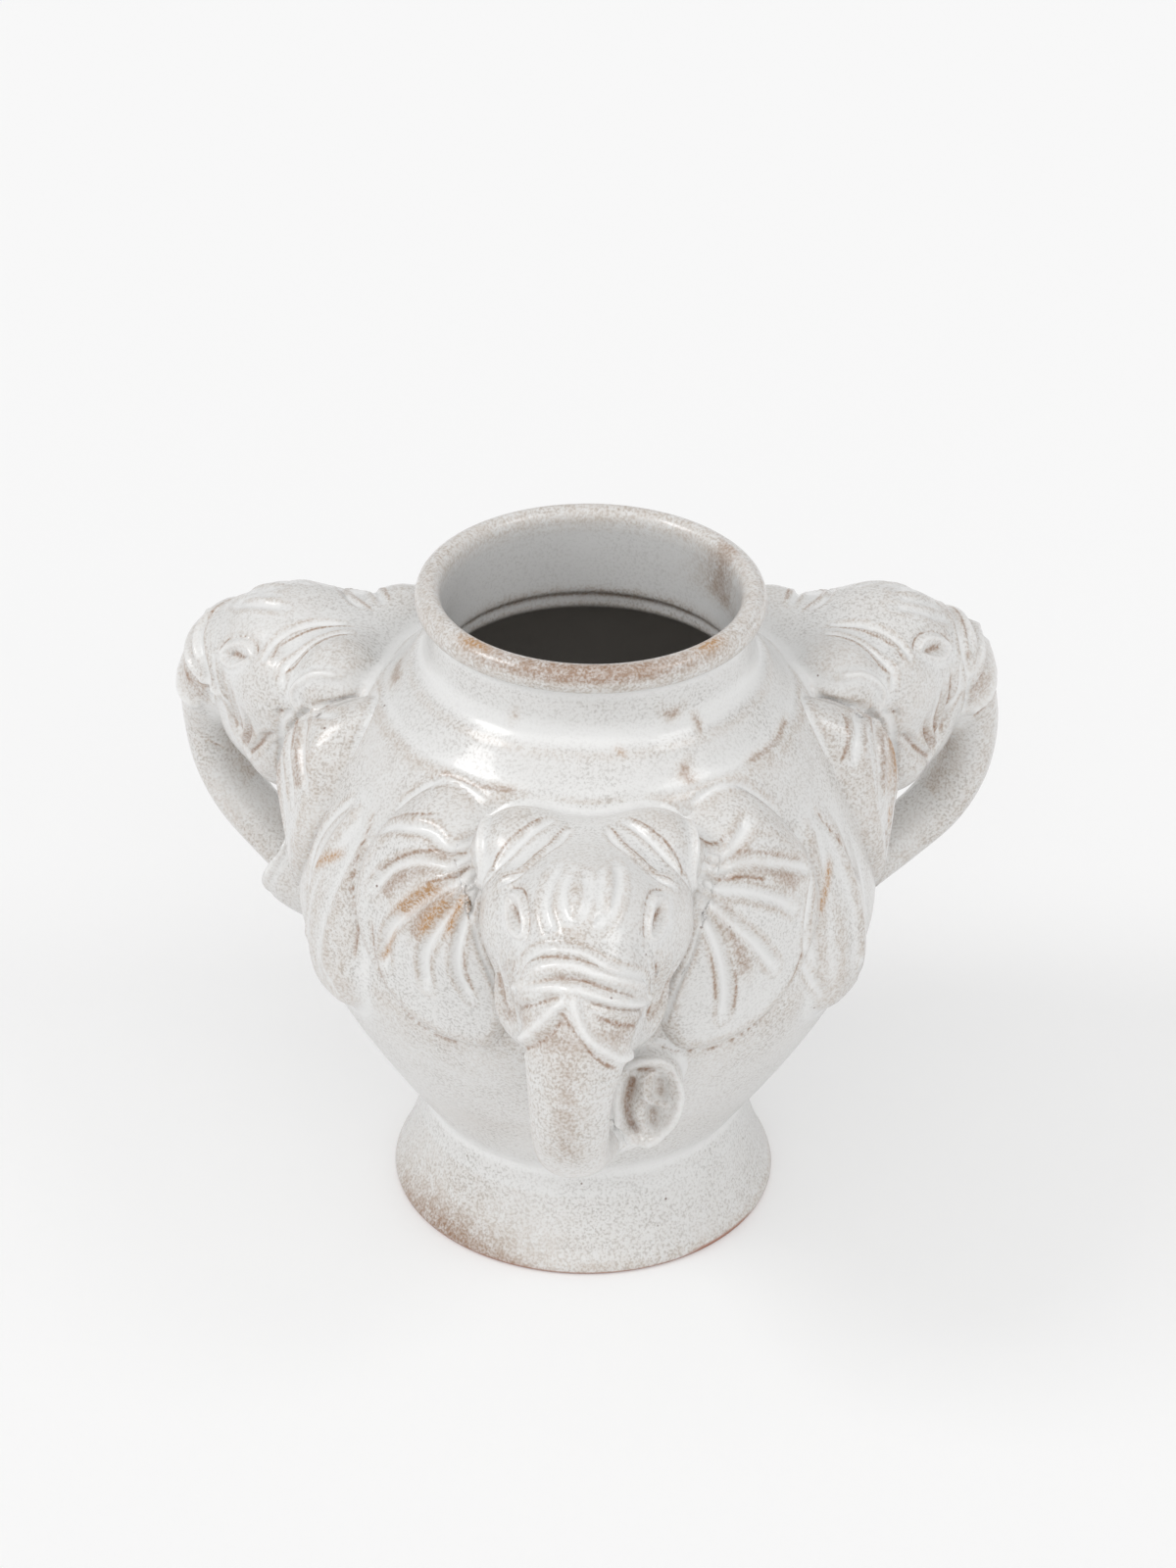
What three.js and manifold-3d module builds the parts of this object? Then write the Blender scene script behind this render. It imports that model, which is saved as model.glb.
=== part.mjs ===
// Elephant vase: a thrown stoneware vessel with three elephants luted round it.
// Each elephant's trunk leaves the face as a loop and comes back to the belly, so it is
// a handle with a finger gap behind it, and its curled tip lies beside the loop.
// Millimetres, +Z up, origin on the table under the centre of the foot.
// The front elephant looks along -Y; the other two are turned round the axis.

import * as THREE from 'three';
import { mergeVertices } from 'three/addons/utils/BufferGeometryUtils.js';
import Module from 'manifold-3d';

const wasm = await Module();
wasm.setup();

// Vessel, thrown in three pieces: foot, belly and collar
const FOOT_HEIGHT = 34;
const FOOT_RADIUS = 62.8;
const FOOT_EDGE = 2;
const FOOT_WALL = 8;
const FOOT_SPLAY = 4;
const FOOT_SPLAY_UP = 12;
const WAIST_RADIUS = 52;
const BELLY_HEIGHT = 146.7;
const BELLY_WIDE_UP = 78;
const BELLY_RADIUS = 92;
const BELLY_BEND_UP = 58;
const SHOULDER_RADIUS = 66.3;
const WALL = 6.5;
const FLOOR = 9;
const FLOOR_CURVE = 8;
const COLLAR_HEIGHT = 39.3;
const FLANGE_RISE = 14;
const FLANGE_TUCK = 3;
const FLANGE_FADE = 6;
const NECK_RADIUS = 50.8;
const NECK_WALL = 4.8;
const LEDGE_RISE = 9;
const LEDGE_STEP = 2;
const RIM_RADIUS = 54.3;
const RIM_DEPTH = 9;
const LIP_RADIUS = 3.8;
const LIP_START = -55;
const LIP_STEPS = 5;
const MOUTH_ROUND = 2.5;

// Lobes of clay that swell the belly between one elephant's ear and the next one's
const LOBE_WIDTH = 27;
const LOBE_DEPTH = 28;
const LOBE_HEIGHT = 58;
const LOBE_PROUD = 4;
const LOBE_UP = 6;

// Elephants, set round the belly; the sizes are of one animal and serve all three
const ELEPHANT_TURNS = { front: 0, left: -118, right: 120.5 };
const HEAD_WIDTH = 62;
const SKULL_LENGTH = 56;
const SKULL_HEIGHT = 50;
const SKULL_OUT = 4;
const SKULL_UP = 48.5;
const FOREHEAD_WIDTH = 48;
const FOREHEAD_LENGTH = 48;
const FOREHEAD_HEIGHT = 50;
const FOREHEAD_OUT = 19;
const FOREHEAD_UP = 51;
const JAW_WIDTH = 48;
const JAW_LENGTH = 36;
const JAW_HEIGHT = 36;
const JAW_OUT = 12;
const JAW_UP = 28;
const BUMP_RADIUS = 13;
const BUMP_SPREAD = 18;
const BUMP_IN = 16;
const BUMP_UP = 61;

// Trunk loop: how far each station stands out from the belly's widest radius, how far
// it lies above the belly's widest height, and its half thickness there
const TRUNK_LOOP = [
  { out: 24, up: 57, thick: 9 },
  { out: 37.5, up: 50, thick: 13.5 },
  { out: 44.5, up: 33, thick: 12.2 },
  { out: 48, up: 16, thick: 10.8 },
  { out: 46, up: -1, thick: 9.8 },
  { out: 39, up: -14, thick: 9.2 },
  { out: 26, up: -24.5, thick: 9 },
  { out: 12, up: -32.5, thick: 9 },
  { out: -3, up: -38.5, thick: 9 },
  { out: -17, up: -43, thick: 8.5 },
];
const TRUNK_FLATTENING = 1.08;

// Curled tip of the trunk, with the two nostrils in its end face
const TIP_WIDTH = 18;
const TIP_LENGTH = 24;
const TIP_HEIGHT = 35;
const TIP_SIDE = 18.6;
const TIP_OUT = 3;
const TIP_UP = -20;
const TIP_FACE_OUT = 11;
const TIP_MOUTH_WIDTH = 9;
const TIP_MOUTH_HEIGHT = 20;
const TIP_MOUTH_DEPTH = 3;
const TIP_JOIN = { out: 1, up: -31.7, width: 25, thick: 18 };

// Ears: fans on the belly, thick at the root beside the cheek and thin at the free edge
const EAR_ROOT = { turn: 22, up: 54 };
const EAR_ROOT_THICKNESS = 14;
const EAR_EDGE_THICKNESS = 4.5;
const EAR_ROOT_REACH = 34;
const EAR_EDGE_ROUND = 0.45;
const EAR_OUTLINE = [
  { turn: 22, up: 60 },
  { turn: 32, up: 66.5 },
  { turn: 41, up: 66.5 },
  { turn: 48, up: 58 },
  { turn: 52.5, up: 45 },
  { turn: 52.5, up: 30 },
  { turn: 49, up: 18 },
  { turn: 43, up: 7 },
  { turn: 34, up: -2 },
  { turn: 24, up: -5.5 },
  { turn: 17.5, up: -3 },
  { turn: 14, up: 12 },
  { turn: 15, up: 36 },
];

// Clay slip between the luted pieces, and how finely the round shapes are faceted
const SLIP = 0.3;
const RING_STEPS = 40;
const BLOB_STEPS = 14;
const BLOB_RINGS = 9;
const TRUNK_SIDES = 10;
const TRUNK_STEPS = 17;
const FAN_STEPS = 22;
const FAN_RINGS = 3;
const CURVE_STEPS = 8;

// Heights and places that follow from the sizes above
const beltZ = FOOT_HEIGHT + BELLY_WIDE_UP;
const shoulderZ = FOOT_HEIGHT + BELLY_HEIGHT;
const topZ = shoulderZ + COLLAR_HEIGHT;
const rimZ = topZ - RIM_DEPTH;
const flangeZ = shoulderZ + FLANGE_RISE;

const glaze = { color: 0xe3e1dd, roughness: 0.32, metalness: 0 };

function degrees(angle) {
  return THREE.MathUtils.degToRad(angle);
}

// Outer radius of the belly at a height: below the widest place a quadratic curve that
// leaves the waist as a cone and bends upright, above it a parabola up to the shoulder
function bellyRadius(z) {
  if (z < beltZ) {
    const up = Math.max(z - FOOT_HEIGHT, 0);
    const slack = 2 * BELLY_BEND_UP - BELLY_WIDE_UP;
    const root = Math.sqrt(BELLY_BEND_UP * BELLY_BEND_UP - slack * up);
    const short = 1 - (BELLY_BEND_UP - root) / slack;
    return BELLY_RADIUS - (BELLY_RADIUS - WAIST_RADIUS) * short * short;
  }
  const rise = (z - beltZ) / (shoulderZ - beltZ);
  return BELLY_RADIUS - (BELLY_RADIUS - SHOULDER_RADIUS) * rise * rise;
}

// Outer line of the belly from the waist to the shoulder, as [radius, height] pairs
function bellyLine(inset) {
  const bottom = FOOT_HEIGHT + SLIP;
  const top = shoulderZ - SLIP;
  const line = [];
  const steps = CURVE_STEPS + 2;
  for (let i = 0; i <= steps; i += 1) {
    const share = 0.5 - 0.5 * Math.cos((Math.PI * i) / steps);
    const z = bottom + (top - bottom) * share;
    line.push([bellyRadius(z) - inset, z]);
  }
  return line;
}

// Outer line of the foot from the waist down to the resting edge
function footLine() {
  const curve = new THREE.QuadraticBezierCurve(
    new THREE.Vector2(WAIST_RADIUS, FOOT_HEIGHT),
    new THREE.Vector2(WAIST_RADIUS + FOOT_SPLAY, FOOT_SPLAY_UP),
    new THREE.Vector2(FOOT_RADIUS, FOOT_EDGE),
  );
  return curve.getPoints(CURVE_STEPS / 2).map((p) => [p.x, p.y]);
}

// Outer line of the collar: flange, neck, then the rolled rim up to its top
function collarLine() {
  const flare = new THREE.QuadraticBezierCurve(
    new THREE.Vector2(SHOULDER_RADIUS, shoulderZ),
    new THREE.Vector2(NECK_RADIUS + FLANGE_TUCK, flangeZ - FLANGE_TUCK),
    new THREE.Vector2(NECK_RADIUS, flangeZ + FLANGE_FADE),
  );
  const line = flare.getPoints(CURVE_STEPS / 2 + 1).map((p) => [p.x, p.y]);
  line.push([NECK_RADIUS, rimZ]);
  const roll = RIM_DEPTH / 2;
  for (let i = 0; i <= LIP_STEPS; i += 1) {
    const angle = degrees(THREE.MathUtils.lerp(LIP_START, 90, i / LIP_STEPS));
    const out = RIM_RADIUS - LIP_RADIUS + LIP_RADIUS * Math.cos(angle);
    line.push([out, topZ - roll + roll * Math.sin(angle)]);
  }
  return line;
}

function lathe(line) {
  const points = line.map(([r, z]) => new THREE.Vector2(r, z));
  const geometry = new THREE.LatheGeometry(points, RING_STEPS);
  geometry.rotateX(Math.PI / 2);
  return geometry;
}

// A closed mesh as a solid that can be joined and cut
function solid(geometry) {
  const bare = geometry.clone();
  bare.deleteAttribute('normal');
  bare.deleteAttribute('uv');
  const merged = mergeVertices(bare, 1e-4);
  const mesh = new wasm.Mesh({
    numProp: 3,
    vertProperties: new Float32Array(merged.attributes.position.array),
    triVerts: new Uint32Array(merged.index.array),
  });
  return new wasm.Manifold(mesh);
}

function geometryOf(manifold) {
  const mesh = manifold.getMesh();
  const geometry = new THREE.BufferGeometry();
  geometry.setAttribute('position', new THREE.BufferAttribute(new Float32Array(mesh.vertProperties), 3));
  geometry.setIndex(new THREE.BufferAttribute(new Uint32Array(mesh.triVerts), 1));
  geometry.computeVertexNormals();
  return geometry;
}

function piece(name, geometry) {
  const mesh = new THREE.Mesh(geometry, new THREE.MeshStandardMaterial(glaze));
  mesh.name = name;
  return mesh;
}

function footRing() {
  const line = footLine();
  line.push([FOOT_RADIUS - FOOT_EDGE / 2, 0]);
  line.push([FOOT_RADIUS - FOOT_WALL, 0]);
  line.push([WAIST_RADIUS + FOOT_SPLAY - FOOT_WALL, FOOT_SPLAY_UP]);
  line.push([WAIST_RADIUS - FOOT_WALL, FOOT_HEIGHT]);
  line.push([...line[0]]);
  return lathe(line.reverse());
}

// A swell of clay: an ellipsoid given by where it stands and by its full sizes
function swell(side, out, up, width, length, height, grow, turn = 0) {
  const geometry = new THREE.SphereGeometry(1, BLOB_STEPS, BLOB_RINGS);
  geometry.scale(width / 2 + grow, length / 2 + grow, height / 2 + grow);
  geometry.translate(side, -(BELLY_RADIUS + out), beltZ + up);
  geometry.rotateZ(degrees(turn));
  return solid(geometry);
}

// Joins the three lobes to a solid; each lies half way between two elephants.
// back is how far the solid is turned back, so that one elephant looks along -Y.
function withLobes(body, grow, back) {
  const { front, left, right } = ELEPHANT_TURNS;
  const middles = [(front + left) / 2, (front + right) / 2, (left + right) / 2 + 180];
  const out = LOBE_PROUD - LOBE_DEPTH / 2;
  return middles.reduce(
    (whole, middle) => whole.add(
      swell(0, out, LOBE_UP, LOBE_WIDTH, LOBE_DEPTH, LOBE_HEIGHT, grow, middle - back)),
    body,
  );
}

function belly() {
  const floorZ = FOOT_HEIGHT + FLOOR;
  const outside = solid(lathe([[0, FOOT_HEIGHT + SLIP], ...bellyLine(0), [0, shoulderZ - SLIP]]));
  const wallLine = bellyLine(WALL).filter(([, z]) => z > floorZ + FLOOR_CURVE / 2);
  const room = solid(lathe([
    [0, floorZ],
    [WAIST_RADIUS - WALL - FLOOR_CURVE, floorZ],
    ...wallLine,
    [SHOULDER_RADIUS - WALL, shoulderZ],
    [0, shoulderZ],
  ]));
  return geometryOf(withLobes(outside, 0, 0).subtract(room));
}

function neckCollar() {
  const line = collarLine();
  const bore = NECK_RADIUS - NECK_WALL;
  line.push([bore + MOUTH_ROUND, topZ - MOUTH_ROUND / 2]);
  line.push([bore, topZ - 2 * MOUTH_ROUND]);
  line.push([bore, shoulderZ + LEDGE_RISE]);
  line.push([bore + LEDGE_STEP, shoulderZ + LEDGE_RISE - 2 * LEDGE_STEP]);
  line.push([SHOULDER_RADIUS - WALL, shoulderZ]);
  line.push([...line[0]]);
  return lathe(line);
}

// The whole vessel's outside with the slip on it, turned to face one elephant: what
// every luted piece is cut by, so that it sits on the wall it is luted to
function vesselCutter(turn) {
  const foot = footLine().reverse();
  const line = [[0, -1], [FOOT_RADIUS, -1], ...foot, ...bellyLine(0).slice(1), ...collarLine()];
  const grown = line.map(([r, z], i) => [i === 0 ? 0 : r + SLIP, z]);
  grown.push([0, topZ + 1]);
  const geometry = lathe(grown);
  geometry.rotateZ(-degrees(turn));
  return withLobes(solid(geometry), SLIP, turn);
}

function headSolid(grow) {
  let head = swell(0, SKULL_OUT, SKULL_UP, HEAD_WIDTH, SKULL_LENGTH, SKULL_HEIGHT, grow);
  head = head.add(
    swell(0, FOREHEAD_OUT, FOREHEAD_UP, FOREHEAD_WIDTH, FOREHEAD_LENGTH, FOREHEAD_HEIGHT, grow));
  head = head.add(swell(0, JAW_OUT, JAW_UP, JAW_WIDTH, JAW_LENGTH, JAW_HEIGHT, grow));
  const bump = 2 * BUMP_RADIUS;
  for (const side of [-BUMP_SPREAD, BUMP_SPREAD]) {
    head = head.add(swell(side, -BUMP_IN, BUMP_UP, bump, bump, bump, grow));
  }
  return head;
}

// A tube along the loop, its rings square to the path and a little wider than thick
function trunkLoop(grow) {
  const places = TRUNK_LOOP.map(
    ({ out, up }) => new THREE.Vector3(0, -(BELLY_RADIUS + out), beltZ + up));
  const path = new THREE.CatmullRomCurve3(places, false, 'centripetal');
  const positions = [];
  const index = [];
  const side = new THREE.Vector3(1, 0, 0);
  for (let i = 0; i <= TRUNK_STEPS; i += 1) {
    const t = i / TRUNK_STEPS;
    const centre = path.getPoint(t);
    const across = new THREE.Vector3().crossVectors(path.getTangent(t), side);
    const place = t * (TRUNK_LOOP.length - 1);
    const low = Math.min(Math.floor(place), TRUNK_LOOP.length - 2);
    const thick = THREE.MathUtils.lerp(TRUNK_LOOP[low].thick, TRUNK_LOOP[low + 1].thick, place - low) + grow;
    for (let k = 0; k < TRUNK_SIDES; k += 1) {
      const angle = (2 * Math.PI * k) / TRUNK_SIDES;
      const point = centre.clone();
      point.addScaledVector(side, thick * TRUNK_FLATTENING * Math.cos(angle));
      point.addScaledVector(across, thick * Math.sin(angle));
      positions.push(point.x, point.y, point.z);
    }
  }
  for (let i = 0; i < TRUNK_STEPS; i += 1) {
    for (let k = 0; k < TRUNK_SIDES; k += 1) {
      const a = i * TRUNK_SIDES + k;
      const b = i * TRUNK_SIDES + ((k + 1) % TRUNK_SIDES);
      index.push(a, b, a + TRUNK_SIDES, b, b + TRUNK_SIDES, a + TRUNK_SIDES);
    }
  }
  const last = TRUNK_STEPS * TRUNK_SIDES;
  for (let k = 1; k < TRUNK_SIDES - 1; k += 1) {
    index.push(0, k + 1, k, last, last + k, last + k + 1);
  }
  const geometry = new THREE.BufferGeometry();
  geometry.setAttribute('position', new THREE.Float32BufferAttribute(positions, 3));
  geometry.setIndex(index);
  return solid(geometry);
}

// The curled tip: a stub that stands out of the belly, with a flat end face and a
// shallow nostril hollow in it, joined to the loop by a swell of clay
function trunkTip(grow) {
  const stub = swell(TIP_SIDE, TIP_OUT, TIP_UP, TIP_WIDTH, TIP_LENGTH, TIP_HEIGHT, grow);
  const trim = new THREE.BoxGeometry(TIP_WIDTH * 2, TIP_LENGTH, TIP_HEIGHT * 2);
  const face = BELLY_RADIUS + TIP_FACE_OUT + grow;
  trim.translate(TIP_SIDE, -(face + TIP_LENGTH / 2), beltZ + TIP_UP);
  let tip = stub.subtract(solid(trim));
  if (grow === 0) {
    tip = tip.subtract(
      swell(TIP_SIDE, TIP_FACE_OUT, TIP_UP, TIP_MOUTH_WIDTH, 2 * TIP_MOUTH_DEPTH, TIP_MOUTH_HEIGHT, 0));
  }
  const { out, up, width, thick } = TIP_JOIN;
  return tip.add(swell(TIP_SIDE / 2, out, up, width, thick, thick, grow));
}

function trunkSolid(grow) {
  return trunkLoop(grow).add(trunkTip(grow));
}

// How proud of the belly an ear stands: thick near its root, thin towards the edge
function earThickness(turn, z) {
  const along = degrees(turn - EAR_ROOT.turn) * bellyRadius(z);
  const away = Math.hypot(along, z - beltZ - EAR_ROOT.up) / EAR_ROOT_REACH;
  return EAR_EDGE_THICKNESS + (EAR_ROOT_THICKNESS - EAR_EDGE_THICKNESS) / (1 + away ** 4);
}

// An ear as a closed shell: rings from the middle of its outline out to the free edge,
// then back under the belly's surface, where the cutter takes the rest away.
// hand is 1 for the elephant's own left ear and -1 for its right ear.
function earSolid(hand) {
  const outline = new THREE.CatmullRomCurve3(
    EAR_OUTLINE.map(({ turn, up }) => new THREE.Vector3(turn, up, 0)), true, 'centripetal');
  const rim = outline.getSpacedPoints(FAN_STEPS).slice(0, FAN_STEPS);
  const middle = new THREE.Vector2(0, 0);
  rim.forEach((p) => middle.add(new THREE.Vector2(p.x, p.y).divideScalar(FAN_STEPS)));
  const positions = [];
  const index = [];
  const put = (turn, up, proud) => {
    const z = beltZ + up;
    const radius = bellyRadius(Math.min(z, shoulderZ)) + proud;
    positions.push(hand * radius * Math.sin(degrees(turn)), -radius * Math.cos(degrees(turn)), z);
  };
  put(middle.x, middle.y, earThickness(middle.x, beltZ + middle.y));
  for (let ring = 1; ring <= FAN_RINGS; ring += 1) {
    const reach = ring / FAN_RINGS;
    const round = ring === FAN_RINGS ? EAR_EDGE_ROUND : 1;
    for (const p of rim) {
      const turn = THREE.MathUtils.lerp(middle.x, p.x, reach);
      const up = THREE.MathUtils.lerp(middle.y, p.y, reach);
      put(turn, up, round * earThickness(turn, beltZ + up));
    }
  }
  rim.forEach((p) => put(p.x, p.y, -WALL / 2));
  put(middle.x, middle.y, -WALL / 2);
  const face = (a, b, c) => (hand > 0 ? index.push(a, b, c) : index.push(a, c, b));
  const back = positions.length / 3 - 1;
  for (let k = 0; k < FAN_STEPS; k += 1) {
    const next = (k + 1) % FAN_STEPS;
    face(0, 1 + next, 1 + k);
    for (let ring = 0; ring < FAN_RINGS; ring += 1) {
      const a = 1 + ring * FAN_STEPS + k;
      const b = 1 + ring * FAN_STEPS + next;
      face(a, b, a + FAN_STEPS);
      face(b, b + FAN_STEPS, a + FAN_STEPS);
    }
    const edge = 1 + FAN_RINGS * FAN_STEPS;
    face(back, edge + k, edge + next);
  }
  const geometry = new THREE.BufferGeometry();
  geometry.setAttribute('position', new THREE.Float32BufferAttribute(positions, 3));
  geometry.setIndex(index);
  return solid(geometry);
}

// One elephant: its head, its trunk and its two ears, cut to sit on the vessel and on
// each other, in a group turned round the vessel's axis
function elephant(name, turn) {
  const vessel = vesselCutter(turn);
  const headRoom = headSolid(SLIP);
  const trunkRoom = trunkSolid(SLIP);
  const group = new THREE.Group();
  group.rotation.z = degrees(turn);
  group.add(piece(`${name}_head`, geometryOf(headSolid(0).subtract(vessel))));
  const trunk = trunkSolid(0).subtract(vessel).subtract(headRoom);
  group.add(piece(`${name}_trunk`, geometryOf(trunk)));
  for (const [side, hand] of [['left', 1], ['right', -1]]) {
    const ear = earSolid(hand).subtract(vessel).subtract(headRoom).subtract(trunkRoom);
    group.add(piece(`${name}_ear_${side}`, geometryOf(ear)));
  }
  return group;
}

const vase = new THREE.Group();
vase.add(piece('foot_ring', footRing()));
vase.add(piece('belly', belly()));
vase.add(piece('neck_collar', neckCollar()));
for (const [name, turn] of Object.entries(ELEPHANT_TURNS)) {
  vase.add(elephant(name, turn));
}

export default vase;
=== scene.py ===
import math

import bpy
import numpy as np
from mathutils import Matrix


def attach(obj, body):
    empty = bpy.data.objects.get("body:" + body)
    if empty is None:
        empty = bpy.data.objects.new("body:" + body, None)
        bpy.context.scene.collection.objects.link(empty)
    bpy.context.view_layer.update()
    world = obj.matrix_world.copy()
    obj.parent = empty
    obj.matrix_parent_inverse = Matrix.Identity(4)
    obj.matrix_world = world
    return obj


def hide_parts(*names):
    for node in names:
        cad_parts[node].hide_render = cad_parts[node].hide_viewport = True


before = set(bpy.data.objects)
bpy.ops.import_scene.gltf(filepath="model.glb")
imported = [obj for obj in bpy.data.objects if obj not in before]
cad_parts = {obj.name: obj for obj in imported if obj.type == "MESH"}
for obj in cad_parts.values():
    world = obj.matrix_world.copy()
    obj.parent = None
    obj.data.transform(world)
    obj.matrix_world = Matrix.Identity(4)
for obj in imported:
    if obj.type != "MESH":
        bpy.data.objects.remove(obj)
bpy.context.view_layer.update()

import openvdb
from mathutils import Matrix, Vector

# Sizes in millimetres, z up from the table, as in the model's own frame
FOOT_HEIGHT = 34.0
WAIST_RADIUS = 52.0
BELLY_WIDE_UP = 78.0
BELLY_BEND_UP = 58.0
BELLY_RADIUS = 92.0
BELT_Z = FOOT_HEIGHT + BELLY_WIDE_UP
SHOULDER_Z = 180.7
SHOULDER_RADIUS = 66.3
# The step of a thrown outline, and a distance beyond any other
LINE_STEP = 0.5
FAR = 1e9
# For each elephant: its turn round the vase, how wide its left and right ears spread
# beside the front one's, and how much lower its eyes sit
ELEPHANTS = {
    "front": (0.0, 1.0, 1.0, 0.0),
    "left": (-118.0, 0.68, 0.88, 3.0),
    "right": (120.5, 0.88, 0.68, 0.0),
}


def belly_radius(z):
    """Radius of the thrown belly at a height, by the same curves as the solid model."""
    up = np.clip(z - FOOT_HEIGHT, 0.0, BELLY_WIDE_UP)
    slack = 2 * BELLY_BEND_UP - BELLY_WIDE_UP
    root = np.sqrt(BELLY_BEND_UP ** 2 - slack * up)
    short = 1 - (BELLY_BEND_UP - root) / slack
    low = BELLY_RADIUS - (BELLY_RADIUS - WAIST_RADIUS) * short ** 2
    rise = np.clip((z - BELT_Z) / (SHOULDER_Z - BELT_Z), 0.0, 1.4)
    high = BELLY_RADIUS - (BELLY_RADIUS - SHOULDER_RADIUS) * rise ** 2
    return np.where(z < BELT_Z, low, high)


def vessel_table():
    """Heights and outer radii of the whole thrown vessel, with its two joins softened."""
    z = np.arange(-4.0, 212.0, LINE_STEP)
    foot_z = np.array([-4, 0, 2, 6, 12, 18, 26, 34.0])
    foot_r = np.array([63.2, 62.9, 62.6, 60.4, 57.9, 55.9, 53.6, 52.0])
    neck_z = np.array([180.7, 182.2, 185, 190, 192, 194, 196, 199, 203, 212.0])
    neck_r = np.array([66.8, 63.8, 61.2, 57.2, 55.8, 53.2, 51.6, 50.9, 50.8, 50.8])
    radius = np.where(z < FOOT_HEIGHT, np.interp(z, foot_z, foot_r), belly_radius(z))
    radius = np.where(z > SHOULDER_Z, np.interp(z, neck_z, neck_r), radius)
    soft = np.convolve(np.pad(radius, 2, mode="edge"), np.ones(5) / 5, mode="valid")
    return z, soft


VESSEL_Z, VESSEL_R = vessel_table()
VESSEL_SLOPE = np.gradient(VESSEL_R, VESSEL_Z)


def smooth_step(low, high, value):
    """Zero below low, one above high, and a smooth rise between."""
    t = np.clip((value - low) / (high - low), 0.0, 1.0)
    return t * t * (3 - 2 * t)


def blend(a, b, k):
    """Smooth union of two distances: the join is filled with a fillet about k wide."""
    h = np.clip(0.5 + 0.5 * (b - a) / k, 0.0, 1.0)
    return b + (a - b) * h - k * h * (1 - h)


def ellipsoid(p, middle, half):
    """Distance to an egg-shaped lump, from its middle and half sizes."""
    q = p - np.array(middle)
    r = np.array(half)
    k0 = np.sqrt(((q / r) ** 2).sum(1))
    k1 = np.sqrt(((q / r ** 2) ** 2).sum(1))
    return k0 * (k0 - 1) / np.maximum(k1, 1e-6)


def curve_points(points, step):
    """A smooth curve through the points (Catmull-Rom), sampled about every step; extra
    columns such as a radius are carried along."""
    pts = np.array(points, float)
    if len(pts) < 3:
        n = max(2, int(np.linalg.norm(pts[-1, :3] - pts[0, :3]) / step) + 1)
        t = np.linspace(0, 1, n)[:, None]
        return pts[0] * (1 - t) + pts[-1] * t
    ext = np.vstack([2 * pts[0] - pts[1], pts, 2 * pts[-1] - pts[-2]])
    out = []
    for i in range(len(pts) - 1):
        a, b, c, d = ext[i:i + 4]
        n = max(1, int(np.linalg.norm(c[:3] - b[:3]) / step))
        t = (np.arange(n) / n)[:, None]
        out.append(0.5 * (2 * b + (c - a) * t + (2 * a - 5 * b + 4 * c - d) * t ** 2
                          + (3 * b - a - 3 * c + d) * t ** 3))
    out.append(pts[-1:])
    return np.vstack(out)


def tube(p, stations):
    """Distance to a round tube along stations (x, y, z, radius)."""
    best = np.full(len(p), FAR)
    for a, b in zip(stations[:-1], stations[1:]):
        ab = b[:3] - a[:3]
        h = np.clip(((p - a[:3]) @ ab) / (ab @ ab), 0.0, 1.0)
        gap = p - a[:3] - h[:, None] * ab
        best = np.minimum(best, np.sqrt((gap ** 2).sum(1)) - (a[3] * (1 - h) + b[3] * h))
    return best


# The elephant in its own frame: x to its own left, looking along -y, z up from the table

# Down the middle of the trunk: across, along the gaze, up, and the half depth there
TRUNK_STATIONS = [
    (0, -116, 169, 9.0), (-0.5, -130, 162, 13.0), (-1.7, -139, 145, 11.0), (-2.8, -142.5, 129, 8.9),
    (-2.8, -140, 114, 8.2), (-2.2, -132, 101.5, 7.9), (-1.0, -118, 91.5, 7.8), (0, -104, 84, 8.2),
    (0, -89, 77, 9.0), (0, -76, 71.5, 8.5)]
# A trunk is this much wider than deep
TRUNK_WIDER = 1.41
# An ear's outline and root: degrees from the face's middle, and millimetres above the belly's belt
EAR_OUTLINE = [
    (22, 60), (32, 66.5), (41, 66.5), (48, 58), (52.5, 45), (52.5, 30), (49, 18), (43, 7),
    (34, -2), (24, -5.5), (17.5, -3), (14, 12), (15, 36)]
EAR_ROOT = (22.0, 46.0)
# How thick an ear is along its low rim, and how much more higher up, on top and at its root
EAR_THIN, EAR_THICKER_UP, EAR_TOP_SWELL, EAR_ROOT_SWELL = 1.3, 4.2, 3.0, 9.0
EAR_ROOT_REACH = 27.0
# How far the skin of an ear runs into the vessel outside its outline
EAR_TUCK = 1.0


def head_form(p):
    """Distance to the bare head: lumps of clay smoothed into each other."""
    skull = ellipsoid(p, (0, -96, 160.5), (30, 27.5, 24))
    brow = ellipsoid(p, (0, -111, 163), (23.5, 23.5, 23.5))
    jaw = ellipsoid(p, (-1.5, -105, 137), (25.5, 18, 19.5))
    muzzle = ellipsoid(p, (-2, -126, 153), (18, 13, 14))
    chin = ellipsoid(p, (-1.5, -120, 139), (17, 14, 16))
    crown = ellipsoid(p, (0, -80, 173.5), (12, 12, 9))
    d = blend(blend(skull, brow, 10), jaw, 10)
    for lump in (muzzle, chin, crown):
        d = blend(d, lump, 8)
    for side in (-1, 1):
        temple = ellipsoid(p, (19 * side, -79, 172), (15.5, 14.5, 14))
        cheekbone = ellipsoid(p, (23 * side, -99, 163), (7.5, 12, 14))
        d = blend(blend(d, temple, 8), cheekbone, 6)
    return d


def trunk_form(p):
    """Distance to the trunk's loop, an oval tube that is wider than deep."""
    return tube(p * np.array((1 / TRUNK_WIDER, 1, 1)), curve_points(TRUNK_STATIONS, 2.5))


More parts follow.
